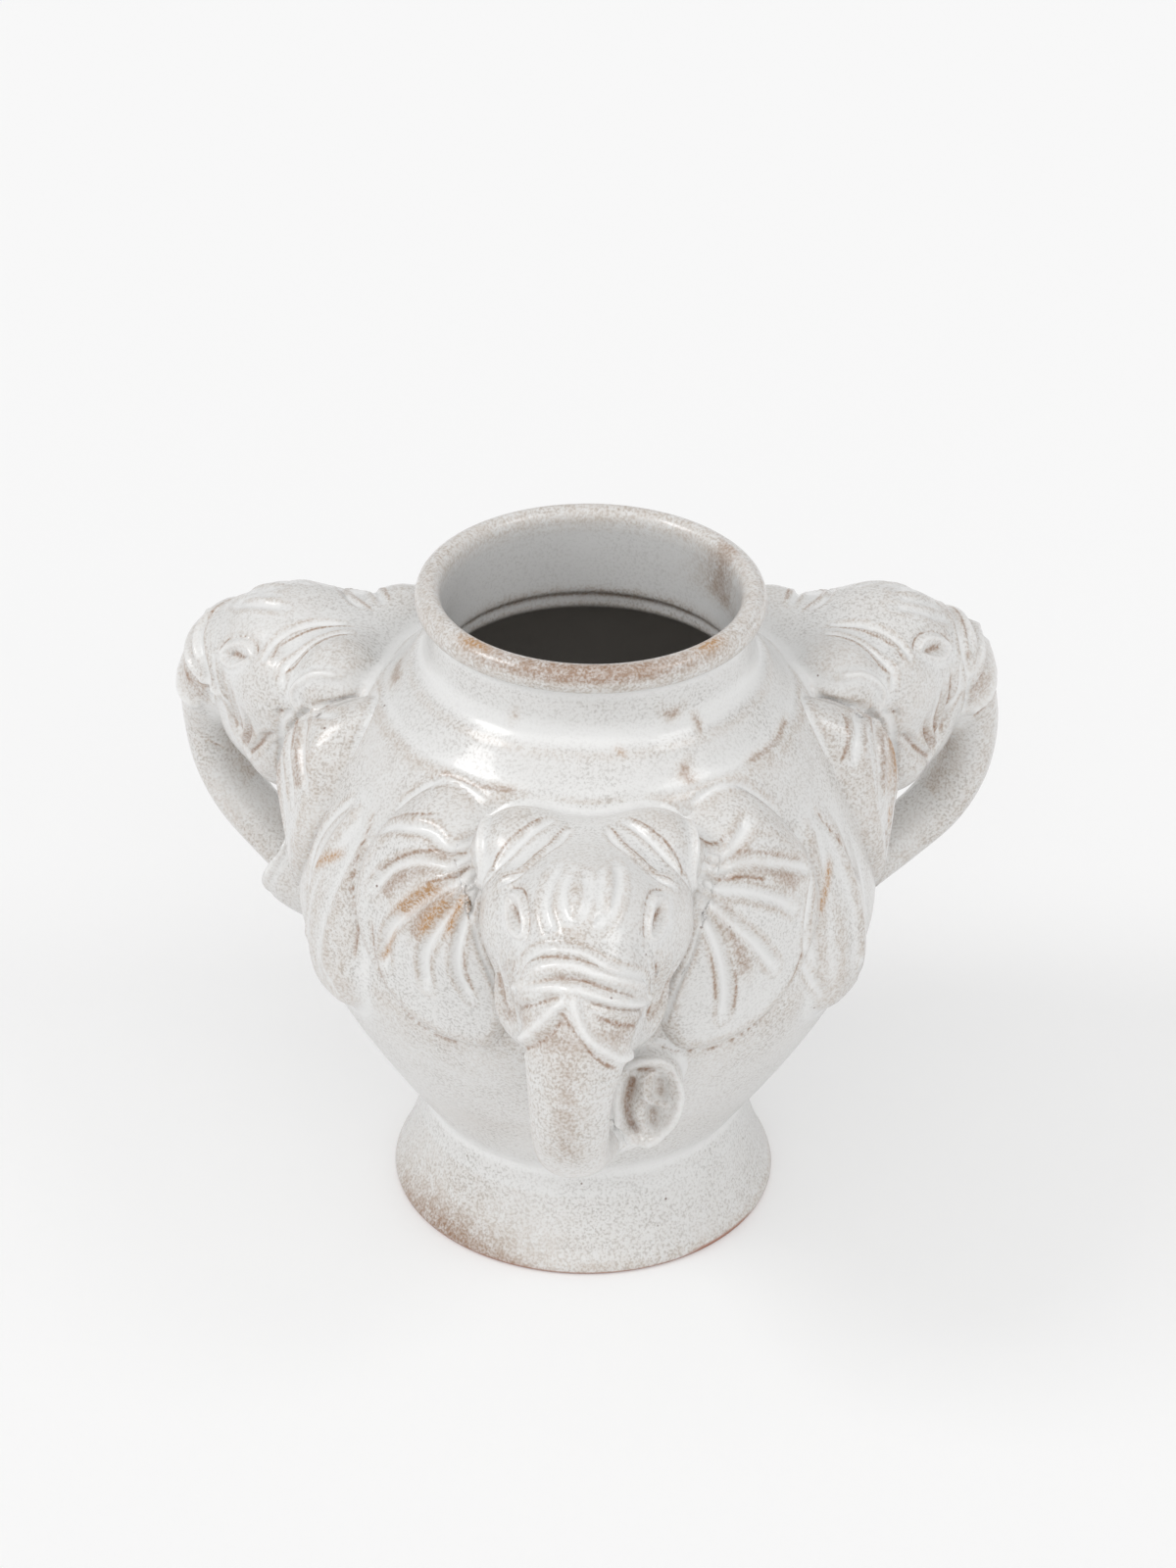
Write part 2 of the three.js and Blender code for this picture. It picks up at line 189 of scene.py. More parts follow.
def tip_form(p):
    """The rolled end of the trunk: an upright pad, its face cut flat and leaning back."""
    pad = ellipsoid(p, (19, -93, 95.5), (11.5, 18, 15))
    face = -0.94 * p[:, 1] + 0.34 * p[:, 2] - 129.1
    pad = -blend(-pad, -face, 1.5)
    join = ellipsoid(p, (9.5, -93, 83.3), (12.5, 9, 9))
    return blend(pad, join, 5)


def inside_distance(points, outline):
    """Distance from 2-D points to a closed outline, positive inside it."""
    best = np.full(len(points), FAR)
    inside = np.zeros(len(points), bool)
    for a, b in zip(outline, np.roll(outline, -1, axis=0)):
        ab = b - a
        h = np.clip(((points - a) @ ab) / (ab @ ab), 0, 1)
        best = np.minimum(best, np.linalg.norm(points - a - h[:, None] * ab, axis=1))
        crosses = (a[1] > points[:, 1]) != (b[1] > points[:, 1])
        if abs(ab[1]) > 1e-9:
            at = a[0] + (points[:, 1] - a[1]) / ab[1] * ab[0]
            inside ^= crosses & (points[:, 0] < at)
    return np.where(inside, best, -best)


def spread_turn(turn, spread):
    """Where a place on the full ear lies on one that spreads less."""
    return EAR_ROOT[0] + (turn - EAR_ROOT[0]) * np.where(turn > EAR_ROOT[0], spread, 1.0)


def ear_height(turn, z, hand, spread):
    """How far an ear stands out from the vessel at a place given by turn and height: a
    fan that leaves the head well proud, with a round upper rim and a thin lower one."""
    turn = spread_turn(turn * hand, 1 / spread)
    across = np.radians(turn) * BELLY_RADIUS
    rim = curve_points([(math.radians(t) * BELLY_RADIUS, u + BELT_Z, 0) for t, u in EAR_OUTLINE
                        + EAR_OUTLINE[:1]], 3.0)[:-1, :2]
    inside = inside_distance(np.stack([across, z], 1), rim)
    rise = z - BELT_Z - EAR_ROOT[1]
    away = np.hypot((turn - EAR_ROOT[0]) * math.radians(1) * belly_radius(z),
                    rise * np.where(rise > 0, 1.6, 1.0)) / EAR_ROOT_REACH
    high = smooth_step(112, 158, z)
    thick = (EAR_THIN + EAR_THICKER_UP * high + EAR_TOP_SWELL * smooth_step(148, 172, z)
             + EAR_ROOT_SWELL / (1 + away ** 3))
    edge = np.sqrt(smooth_step(-1.0, 3.5 + 4.5 * high, inside))
    return thick * edge - EAR_TUCK * (1 - smooth_step(-1.6, 0.0, inside))


class ReliefMap:
    """Heights above the vessel kept on a grid of turn (degrees) and z, read between points."""

    def __init__(self, turns, heights, function):
        self.turns, self.heights = turns, heights
        t, z = np.meshgrid(turns, heights, indexing="ij")
        self.value = function(t.ravel(), z.ravel()).reshape(t.shape)

    def read(self, turn, z):
        i, j = [np.clip((value - grid[0]) / (grid[1] - grid[0]), 0, len(grid) - 1.001)
                for value, grid in ((turn, self.turns), (z, self.heights))]
        a, b = i.astype(int), j.astype(int)
        u, v = i - a, j - b
        m = self.value
        return ((m[a, b] * (1 - u) + m[a + 1, b] * u) * (1 - v)
                + (m[a, b + 1] * (1 - u) + m[a + 1, b + 1] * u) * v)


# Where the swells between the elephants are, in degrees round the vase, and their height
LOBE_TURNS = (-59.0, 60.25, 181.25)
LOBE_HEIGHT = 4.2


def lobe_height(turn, z):
    """The three soft swells of the belly between the elephants; turn is round the vessel.
    Each is broad below, ends in a step, and runs out upwards between two ears."""
    high = np.zeros(len(turn))
    for middle in LOBE_TURNS:
        off = (turn - middle + 180) % 360 - 180
        across = np.abs(np.radians(off)) * BELLY_RADIUS
        foot = 97 + 0.018 * across ** 2
        high += (LOBE_HEIGHT * (1 - smooth_step(6, 20, across)) * smooth_step(foot - 3.5, foot + 3.5, z)
                 * (1 - smooth_step(122, 168, z)))
    return high


def turn_of(p):
    """Degrees round the vessel from the -y side, counted towards +x."""
    return np.degrees(np.arctan2(p[:, 0], -p[:, 1]))


def on_vessel(p, relief):
    """Distance to the thrown vessel with a relief of the given height on it."""
    r = np.hypot(p[:, 0], p[:, 1])
    radius = np.interp(p[:, 2], VESSEL_Z, VESSEL_R)
    slope = np.interp(p[:, 2], VESSEL_Z, VESSEL_SLOPE)
    return (r - radius - relief) / np.sqrt(1 + slope ** 2)


# Lines pressed and drawn in the clay before glazing. Each has a kind, a half width and a
# depth in millimetres. On a head its points are (across, out, up) in the elephant's own
# frame; on an ear or on the vessel they are (turn, up), in degrees and millimetres. A seam,
# fold, cut, hollow or dent is pressed in and a ridge or rim stands out; rust, worn and ochre
# only stain the glaze

BOTH_SIDES_OF_HEAD = [
    # two folds that fan out over the crown, with bare clay showing along them
    ("seam", 1.0, 1.0, [(6, 86, 184), (9, 92, 185), (15, 99, 183), (21, 103, 180), (25, 103, 176)]),
    ("seam", 1.1, 1.1, [(11, 81, 184), (14, 84, 184), (18, 88, 183), (23, 92, 180), (28, 95, 176),
                        (30, 94, 171)]),
    ("rust", 0.6, 0.0, [(6, 82, 183), (11, 91, 184), (17, 97, 182), (22, 101, 179)]),
    ("rust", 0.7, 0.0, [(12, 79, 184), (19, 85, 184), (26, 90, 178), (29, 96, 174)]),
    ("cut", 0.6, 0.4, [(12, 95, 184), (17, 100, 182), (21, 101, 180), (26, 100, 176)]),
    # the valley behind the head, where it was joined to the shoulder
    ("fold", 2.2, 0.3, [(0, 68, 178), (8, 66, 179), (16, 64, 180), (25, 69, 179), (30, 77, 176)]),
    # the root of the ear: a curled edge under the temple, and the dark pit where the ribs meet
    ("rim", 1.3, 1.5, [(34, 86, 164), (31, 89, 168), (31, 89, 172), (32, 85, 177), (31, 80, 180),
                       (29, 73, 180)]),
    ("hollow", 1.4, 1.8, [(37, 92, 163), (35, 94, 162), (33, 95, 160)]),
    ("seam", 1.5, 0.6, [(33, 89, 164), (33, 93, 158), (31, 96, 147), (26, 98, 134), (20, 94, 116)]),
    # wrinkles that run together on the cheek
    ("cut", 1.4, 1.4, [(30, 98, 152), (28, 107, 143), (23, 116, 134)]),
    ("cut", 1.3, 1.4, [(27, 110, 154), (26, 113, 145), (23, 118, 136)]),
    ("cut", 1.3, 1.4, [(24, 118, 160), (24, 118, 148), (22, 120, 138)]),
    ("cut", 1.3, 1.3, [(21, 123, 164), (22, 122, 151), (21, 121, 140)]),
    ("seam", 0.9, 0.8, [(17, 127, 166), (19, 126, 157), (20, 121, 147), (20, 119, 140)]),
    ("worn", 3.2, 0.0, [(27, 108, 150), (24, 115, 142), (21, 119, 136)]),
]
# An almond eye on each side: the lids round it, its dark slit, and the crease above
EYE_LINES = [
    ("rim", 0.9, 1.1, [(23, 108, 176), (20, 112, 178), (18, 117, 176), (17, 122, 171),
                       (20, 118, 170), (22, 113, 172), (23, 108, 176)]),
    ("hollow", 1.2, 1.6, [(22, 110, 175), (20, 114, 174), (18, 118, 173), (17, 120, 172)]),
    ("rust", 1.1, 0.0, [(21, 112, 175), (19, 116, 174), (18, 119, 172)]),
    ("cut", 0.6, 0.6, [(24, 106, 178), (20, 109, 180), (17, 114, 179), (15, 120, 175),
                       (15, 124, 170)]),
]
HEAD_LINES = [
    # upright wrinkles on the forehead
    ("fold", 2.0, 0.9, [(-8, 108, 186), (-11, 116, 184), (-12, 122, 181), (-9, 128, 176)]),
    ("fold", 1.8, 0.8, [(-5, 111, 187), (-7, 117, 185), (-7, 123, 182), (-5, 128, 179)]),
    ("fold", 1.8, 0.8, [(0, 113, 187), (1, 119, 185), (0, 124, 182), (-2, 127, 180)]),
    ("fold", 1.8, 0.8, [(4, 112, 187), (4, 119, 185), (4, 125, 182), (2, 128, 179)]),
    ("fold", 1.6, 0.8, [(9, 106, 186), (9, 116, 184), (7, 125, 181), (2, 129, 178)]),
    # folds laid across the root of the trunk and down its sides
    ("seam", 1.3, 1.3, [(-14, 131, 147), (-17, 130, 155), (-18, 130, 161), (-16, 129, 167),
                        (-12, 130, 171), (-6, 133, 174), (0, 135, 174), (6, 137, 171),
                        (11, 135, 167), (16, 131, 162), (17, 130, 155), (14, 131, 147)]),
    ("rim", 1.4, 1.0, [(-14, 133, 165), (-9, 136, 170), (-2, 138, 171), (4, 139, 169),
                       (10, 137, 166), (16, 131, 161)]),
    ("rim", 1.5, 1.3, [(-21, 127, 156), (-17, 132, 160), (-12, 138, 164), (-7, 141, 166),
                       (-2, 142, 166), (4, 143, 164), (10, 140, 161), (16, 132, 156),
                       (20, 124, 152)]),
    ("rim", 1.6, 1.8, [(-5, 143, 166), (-8, 144, 162), (-12, 143, 156), (-15, 140, 149),
                       (-18, 133, 142)]),
    ("rim", 1.8, 2.0, [(-4, 143, 166), (-3, 145, 162), (-1, 148, 157), (3, 149, 152),
                       (10, 145, 145), (15, 137, 141)]),
    ("rust", 1.6, 0.0, [(2, 146, 160), (9, 144, 156), (15, 137, 151)]),
    ("rust", 0.8, 0.0, [(-18, 130, 159), (-15, 131, 167), (-11, 134, 172), (-4, 137, 174),
                        (4, 138, 172), (10, 136, 169)]),
    ("cut", 1.0, 1.2, [(-17, 131, 158), (-13, 136, 164), (-8, 139, 168), (-1, 141, 169),
                       (6, 141, 166), (13, 136, 160)]),
    ("cut", 1.1, 1.2, [(-18, 131, 152), (-14, 138, 158), (-9, 142, 163), (-5, 144, 164)]),
    ("cut", 1.1, 1.2, [(0, 144, 164), (7, 143, 161), (14, 136, 156), (18, 128, 151)]),
    ("rust", 1.1, 0.0, [(-8, 145, 162), (-4, 148, 157), (0, 150, 152), (4, 150, 147),
                        (10, 146, 141)]),
    ("cut", 0.8, 0.7, [(11, 139, 156), (13, 137, 151), (13, 133, 144)]),
    ("cut", 1.2, 0.8, [(-6, 146, 160), (-9, 146, 154), (-13, 142, 147), (-16, 136, 140)]),
    ("cut", 0.7, 0.5, [(6, 142, 128), (5, 138, 124), (3, 133, 121)]),
    # the rolled tip: a raised rim round a trough and two nostrils
    ("rim", 1.5, 2.2, [(11, 98, 107), (19, 98, 110), (27, 98, 109), (29, 100, 102), (28, 103, 95),
                       (24, 105, 89), (16, 106, 84), (11, 105, 89), (10, 102, 96), (10, 100, 102),
                       (11, 98, 107)]),
    ("hollow", 2.0, 4.2, [(15, 99, 106), (14, 101, 101), (13, 102, 96), (14, 104, 91),
                          (17, 105, 87)]),
    ("cut", 1.1, 1.6, [(14, 98, 106), (18, 98, 107), (23, 98, 106)]),
    ("dent", 2.1, 4.0, [(23, 99, 103), (23, 101, 100)]),
    ("dent", 2.3, 4.6, [(21, 103, 94), (21, 104, 91)]),
    ("ridge", 1.2, 0.9, [(17, 100, 103), (19, 102, 98), (25, 102, 97)]),
]
# Ribs pressed into the ears from the root outwards, the first list on the ear at -x
RIGHT_EAR_LINES = [
    ("seam", 1.7, 1.4, [(21, 173), (28, 171), (35, 173), (43, 170), (48, 165)]),
    ("seam", 1.8, 1.5, [(21, 171), (27, 168), (34, 166), (40, 160), (45, 149)]),
    ("seam", 1.8, 1.5, [(22, 167), (28, 161), (34, 151), (39, 139), (40, 127)]),
    ("seam", 1.8, 1.5, [(22, 165), (24, 159), (27, 150), (30, 138), (30, 126)]),
    ("seam", 1.6, 1.4, [(21, 164), (22, 155), (23, 144), (23, 135), (21, 127)]),
    ("rust", 0.8, 0.0, [(50, 165), (42, 173), (35, 176)]),
    ("seam", 1.2, 0.6, [(28, 179), (33, 180), (39, 180), (45, 176), (50, 168)]),
    ("rust", 1.0, 0.0, [(44, 156), (38, 165), (31, 170), (24, 170)]),
    ("rust", 1.0, 0.0, [(23, 168), (27, 165), (32, 161)]),
    ("cut", 0.9, 0.6, [(28, 165), (25, 166), (22, 168)]),
    ("worn", 5.0, 0.0, [(27, 170), (35, 163), (42, 150)]),
    ("worn", 4.0, 0.0, [(24, 166), (29, 156), (33, 142)]),
    ("rust", 0.7, 0.0, [(22, 146), (21, 136), (20, 129)]),
    ("ochre", 2.4, 0.0, [(28, 163), (32, 157), (37, 148)]),
    ("ochre", 2.5, 0.0, [(25, 160), (28, 154), (31, 146)]),
    ("ochre", 1.6, 0.0, [(23, 162), (24, 156), (25, 149)]),
    ("ochre", 1.0, 0.0, [(37, 142), (39, 135), (41, 128)]),
    ("cut", 0.6, 0.5, [(44, 140), (42, 124), (37, 111), (30, 105), (22, 106)]),
]
LEFT_EAR_LINES = [
    ("seam", 1.7, 1.4, [(21, 172), (27, 170), (33, 173), (37, 175)]),
    ("seam", 1.9, 1.5, [(24, 168), (32, 168), (40, 163), (49, 155)]),
    ("seam", 1.8, 1.5, [(22, 165), (30, 161), (38, 153), (42, 147)]),
    ("seam", 1.8, 1.4, [(22, 162), (26, 154), (32, 142), (37, 130)]),
    ("seam", 1.8, 1.5, [(21, 158), (23, 149), (25, 137), (26, 127), (26, 118)]),
    ("rust", 0.7, 0.0, [(21, 174), (27, 172), (31, 174)]),
    ("rust", 1.1, 0.0, [(24, 170), (28, 170), (33, 171)]),
    ("rust", 1.0, 0.0, [(24, 166), (30, 165), (36, 161)]),
    ("seam", 1.2, 0.6, [(28, 179), (33, 180), (39, 180), (45, 176), (50, 168)]),
    ("cut", 0.9, 0.6, [(24, 166), (27, 166), (32, 164)]),
    ("worn", 5.0, 0.0, [(27, 171), (37, 164), (45, 152)]),
    ("worn", 4.0, 0.0, [(24, 160), (27, 148), (30, 132)]),
    ("rust", 0.7, 0.0, [(22, 146), (23, 136), (24, 125)]),
    ("rust", 0.8, 0.0, [(27, 138), (28, 128), (28, 119)]),
    ("rust", 0.7, 0.0, [(31, 171), (38, 167), (47, 159)]),
    ("cut", 0.6, 0.5, [(46, 138), (42, 122), (36, 110), (27, 104), (18, 106), (13, 110)]),
]
# The swells between the elephants: soft upright ridges and folds
SWELL_LINES = [
    ("ridge", 2.6, 1.4, [(-3, 160), (-6, 148), (-9, 130), (-9, 110)]),
    ("ridge", 2.4, 1.2, [(5, 156), (4, 145), (3, 130), (2, 108)]),
    ("seam", 1.2, 0.8, [(-7, 160), (-12, 150), (-15, 138), (-14, 124), (-9, 108)]),
    ("cut", 0.7, 0.4, [(2, 163), (4, 152), (6, 140), (9, 133), (9, 120)]),
    ("ochre", 1.6, 0.0, [(-1, 148), (-5, 143), (-9, 137)]),
    ("seam", 1.1, 0.5, [(1, 114), (3, 108), (5, 102)]),
]
# Places where the glaze has worn or run thin on the collar and shoulder
SHOULDER_LINES = [
    ("worn", 2.2, 0.0, [(25, 203), (29, 200), (34, 202)]),
    ("worn", 1.5, 0.0, [(37, 199), (39, 195), (37, 192)]),
    ("worn", 2.6, 0.0, [(31, 188), (28, 185), (31, 182)]),
    ("worn", 1.6, 0.0, [(-25, 202), (-27, 198)]),
    ("worn", 1.8, 0.0, [(-44, 181), (-33, 181), (-18, 182)]),
    ("worn", 1.6, 0.0, [(48, 182), (62, 182), (75, 183)]),
    ("ochre", 1.2, 0.0, [(9, 193), (11, 192)]),
    ("ochre", 2.2, 0.0, [(-49, 219), (-42, 220), (-36, 220)]),
    ("ochre", 2.4, 0.0, [(39, 220), (45, 220), (50, 219)]),
    ("worn", 3.6, 0.0, [(150, 187), (162, 186), (168, 187)]),
    ("worn", 3.2, 0.0, [(-160, 185), (-150, 184), (-142, 185)]),
    ("worn", 3.4, 0.0, [(-100, 187), (-92, 186), (-84, 187)]),
]
# A line runs out over this length at its ends, and marks a skin up to this far off it,
# beyond which distance counts this many times over
FADE = 3.0
DEEPEST_MISS = 5.0
MISS_COSTS = 3
# The share of a line's strength that is left at its very ends
END_SHARE = 0.35
# Clay pressed out of a line banks up beside it, this share as high as the line is deep
BANK = 0.22
# Glaze pooled along a line covers this share of the rust there
WHITE_COVERS = 0.8


def bell(distance, width):
    """One at no distance, fading smoothly over about one width."""
    return np.exp(-(distance / width) ** 2)


def lateral(points, normals, path):
    """Distance of surface points to a line laid on the surface, measured along the
    surface, and the share of the line's relief that is left near its ends."""
    best = np.full(len(points), FAR)
    share = np.zeros(len(points))
    steps = np.linalg.norm(np.diff(path, axis=0), axis=1)
    start = np.concatenate([[0], np.cumsum(steps)])
    for k in range(len(path) - 1):
        ab = path[k + 1] - path[k]
        h = np.clip(((points - path[k]) @ ab) / (ab @ ab), 0, 1)
        gap = points - path[k] - h[:, None] * ab
        off = (gap * normals).sum(1)
        aside = np.sqrt(np.maximum((gap ** 2).sum(1) - off ** 2, 0))
        d = aside + np.maximum(np.abs(off) - DEEPEST_MISS, 0) * MISS_COSTS
        along = start[k] + h * steps[k]
        ends = np.minimum(along, start[-1] - along)
        nearer = d < best
        best = np.where(nearer, d, best)
        share = np.where(nearer, END_SHARE + (1 - END_SHARE) * smooth_step(0, FADE, ends), share)
    return best, share


def stain(mask, near, more):
    """Adds to a mask wherever it is stronger than what is there."""
    mask[near] = np.maximum(mask[near], more)


def carve(points, faces, lines):
    """Presses the lines into a skin. Gives the new points and what the lines add to the
    masks for pooled white glaze, thin rusty glaze and ochre patches."""
    normals = normals_of(points, faces)
    push = np.zeros(len(points))
    white, rust, ochre = np.zeros(len(points)), np.zeros(len(points)), np.zeros(len(points))
    for kind, width, depth, path in lines:
        reach = 4 * width + 1.5
        low, high = path.min(0) - reach - DEEPEST_MISS, path.max(0) + reach + DEEPEST_MISS
        near = np.nonzero(((points > low) & (points < high)).all(1))[0]
        if not len(near):
            continue
        d, share = lateral(points[near], normals[near], path)
        if kind == "dent":
            share = 1.0
        line = bell(d, width) * share
        bank = bell(d - 1.8 * width, 0.7 * width) * share
        if kind in ("dent", "hollow"):
            push[near] -= depth * line
        if kind in ("seam", "fold", "cut"):
            push[near] += depth * (BANK * bank - line)
        if kind in ("ridge", "rim"):
            push[near] += depth * line
        if kind == "seam":
            stain(white, near, bell(d, 0.85 * width) * share)
            stain(rust, near, 0.62 * bell(d - 1.6 * width, 0.4 * width) * share)
        if kind in ("fold", "rim"):
            stain(white, near, (1.0 if kind == "rim" else 0.4) * line)
        if kind in ("cut", "rust", "hollow"):
            stain(rust, near, bell(d, 0.8 * width) * share)
        if kind == "worn":
            stain(rust, near, 0.75 * bell(d, width) * share)
        # a dent is stained dark: the brown of the nostrils, deepened with painted shade
        if kind == "dent":
            stain(rust, near, 0.7 * bell(d, 0.8 * width))
        if kind == "ochre":
            stain(ochre, near, bell(d, width) * share)
    masks = {"pooled": white, "rust": rust * (1 - WHITE_COVERS * white), "ochre": ochre}
    return points + normals * push[:, None], masks


# Meshes: every piece is one closed skin with smooth faces, in metres

MM = 0.001
# The grid of a modelled piece in millimetres, and how many of its steps round the skin are kept
SCULPT_STEP = 0.7
SKIN_STEPS = 6
# The first look at a piece takes every fourth step, the second those this near the skin
COARSER = 4
NEAR_STEPS = 5.5


def neighbours(faces, count):
    """Both ends of every edge, and how many edges meet at each point."""
    edges = np.vstack([faces[:, [i, (i + 1) % faces.shape[1]]] for i in range(faces.shape[1])])
    edges = edges[edges[:, 0] != edges[:, 1]]
    edges = np.unique(np.sort(edges, axis=1), axis=0)
    ends = np.vstack([edges, edges[:, ::-1]])
    return ends, np.maximum(np.bincount(ends[:, 0], minlength=count), 1)


def averaged(values, ends, degree):
    """The average of each point's neighbours."""
    out = np.empty_like(values)
    for k in range(values.shape[1]):
        out[:, k] = np.bincount(ends[:, 0], weights=values[ends[:, 1], k], minlength=len(values))
    return out / degree[:, None]


def normals_of(points, faces):
    """Outward directions at the points of a quad mesh, weighted by face area."""
    diagonal_a = points[faces[:, 2]] - points[faces[:, 0]]
    diagonal_b = points[faces[:, 3]] - points[faces[:, 1]]
    flat = np.cross(diagonal_a, diagonal_b)
    out = np.zeros_like(points)
    for k in range(4):
        for axis in range(3):
            out[:, axis] += np.bincount(faces[:, k], weights=flat[:, axis], minlength=len(points))
    return out / np.maximum(np.linalg.norm(out, axis=1), 1e-12)[:, None]


def hollows(points, faces, rounds):
    """How far each point lies below the average of its surroundings, in millimetres:
    above zero in a hollow, below zero on an edge."""
    ends, degree = neighbours(faces, len(points))
    soft = points.copy()
    for _ in range(rounds):
        soft = averaged(soft, ends, degree)
    return ((soft - points) * normals_of(points, faces)).sum(1)


def sculpt(field, low, high, step):
    """The skin where a distance field is zero, found on a grid: a coarse look first,
    then every fine point near the surface. Gives points and quads."""
    low, high = np.array(low, float), np.array(high, float)
    coarse = np.ceil((high - low) / step / COARSER).astype(int) + 1
    fine = (coarse - 1) * COARSER + 1
    axes = [low[k] + np.arange(coarse[k]) * step * COARSER for k in range(3)]
    grid = np.stack(np.meshgrid(*axes, indexing="ij"), -1).reshape(-1, 3)
    rough = field(grid).reshape(coarse)
    pick = [np.clip((np.arange(fine[k]) + COARSER // 2) // COARSER, 0, coarse[k] - 1) for k in range(3)]
    dense = rough[np.ix_(*pick)].astype(np.float32)
    near = np.argwhere(np.abs(dense) < NEAR_STEPS * step + 1.0)
    dense[tuple(near.T)] = field(low + near * step)
    far = step * SKIN_STEPS
    volume = openvdb.FloatGrid(float(far))
    volume.copyFromArray(np.clip(dense, -far, far).astype(np.float32))
    volume.transform = openvdb.createLinearTransform(voxelSize=step)
    points, _, quads = volume.convertToPolygons(isovalue=0.0, adaptivity=0.0)
    points = np.array(points, float) + low
    quads = np.array(quads, int)
    outward = normals_of(points, quads)
    probe = slice(0, len(points), max(1, len(points) // 400))
    ahead = outward[probe] * step
    rise = field(points[probe] + ahead) - field(points[probe] - ahead)
    if np.median(rise) < 0:
        quads = quads[:, ::-1]
    return points, quads


# Building the pieces

# Rounds of averaging that find small and wide hollows, and their depth in millimetres, or
# the rise of a wide edge, where the glaze has pooled or thinned all it will
FEW_ROUNDS, MANY_ROUNDS = 4, 24
SMALL_DEPTH, WIDE_DEPTH, WIDE_RISE = 0.06, 0.4, 0.5


def clay(name, points, faces, caps, masks):
    """One closed skin as an object: points in millimetres, quads, and flat caps."""
    mesh = bpy.data.meshes.new(name)
    mesh.from_pydata((points * MM).tolist(), [], [*faces.tolist(), *caps])
    mesh.shade_smooth()
    for label, values in masks.items():
        mask = mesh.attributes.new(label, "FLOAT", "POINT")
        mask.data.foreach_set("value", values.astype(np.float32))
    piece = bpy.data.objects.new(name, mesh)
    bpy.context.scene.collection.objects.link(piece)
    return piece


def finished(name, points, faces, caps=(), extra=None):
    """A skin with the lines carved in it and the masks that the glaze reads: pooled in
    hollows, rusty on edges, and what the lines or the piece itself add."""
    points, drawn = carve(points, faces, LINES)
    small = hollows(points, faces, FEW_ROUNDS)
    wide = hollows(points, faces, MANY_ROUNDS)
    pooled = np.clip(small / SMALL_DEPTH, 0, 1) * 0.35 + np.clip(wide / WIDE_DEPTH, 0, 1) * 0.4
    rust = np.clip(-small / SMALL_DEPTH, 0, 1) * 0.18 + np.clip(-wide / WIDE_RISE, 0, 1) * 0.28
    rust *= 1 - WHITE_COVERS * drawn["pooled"]
    masks = {"pooled": np.maximum(pooled, drawn["pooled"]),
             "rust": np.maximum(rust, drawn["rust"]),
             "ochre": drawn["ochre"]}
    for label, function in (extra or {}).items():
        more = function(points) * (1 - WHITE_COVERS * drawn["pooled"])
        masks[label] = np.maximum(masks.get(label, 0), more)
    return clay(name, points, faces, caps, masks)


def turned(name, line, sides, extra):
    """A skin turned round the z axis from a line of (radius, height) points, with the
    swells on it. It closes on itself, or with flat caps where its ends are apart."""
    closed = np.allclose(line[0], line[-1])
    line = np.array(line[:-1] if closed else line, float)
    turn = np.arange(sides) * 360.0 / sides
    r, t = np.meshgrid(line[:, 0], turn, indexing="ij")
    z = np.repeat(line[:, 1][:, None], sides, axis=1)
    r = r + vessel_relief(t.ravel(), r.ravel(), z.ravel()).reshape(r.shape)
    angle = np.radians(t)
    points = np.stack([r * np.sin(angle), -r * np.cos(angle), z], -1).reshape(-1, 3)
    rows = len(line)
    i = np.arange(rows if closed else rows - 1)[:, None]
    j = np.arange(sides)[None, :]
    a = i * sides + j
    b = i * sides + (j + 1) % sides
    up = (i + 1) % rows * sides
    faces = np.stack([a, b, up + (j + 1) % sides, up + j], -1).reshape(-1, 4)
    caps = []
    if not closed:
        caps = [list(range(sides))[::-1], list(range((rows - 1) * sides, rows * sides))]
    return finished(name, points, faces, caps, extra)


def even_line(points, step):
    """The same line with a point about every step."""
    points = np.array(points, float)
    lengths = np.linalg.norm(np.diff(points, axis=0), axis=1)
    along = np.concatenate([[0], np.cumsum(lengths)])
    places = np.linspace(0, along[-1], max(3, int(along[-1] / step) + 1))
    return np.stack([np.interp(places, along, points[:, k]) for k in range(2)], 1)


# Thrown pieces run this far into each other, sunk a little below the neighbour's skin
JOIN = 4
SINK = 0.5


def outside_line(low, high):
    """The vessel's outer line between two heights, sunk below its neighbours at the ends."""
    z = np.arange(low - JOIN, high + JOIN + 0.01, LINE_STEP)
    r = np.interp(z, VESSEL_Z, VESSEL_R)
    r -= SINK * (1 - smooth_step(low - JOIN, low, z)) + SINK * smooth_step(high, high + JOIN, z)
    return list(zip(r, z))


def vessel_relief(turn, radius, z):
    """The swells, on the outer skin of the belly only."""
    outside = radius > np.interp(z, VESSEL_Z, VESSEL_R) - 2.0
    return np.where(outside & (z > 60), lobe_height(turn, z), 0.0)


def foot_rust(p):
    """The glaze runs thin low on the foot, most of all on the left of the front."""
    low = np.exp(-p[:, 2] / 14)
    return low * (0.25 + 0.95 * bell(turn_of(p) + 48, 36)) * (np.hypot(p[:, 0], p[:, 1]) > 54)


def foot_bare(p):
    """Bare clay under the foot and in a thin line along its edge, wider on the right."""
    edge = 0.6 + 1.6 * bell(turn_of(p) - 48, 16) + 0.7 * bell(turn_of(p) + 20, 30)
    return 1.0 - smooth_step(edge - 0.4, edge + 0.4, p[:, 2])


# The foot's outer side starts above its rounded lower edge
FOOT_EDGE = 2.4


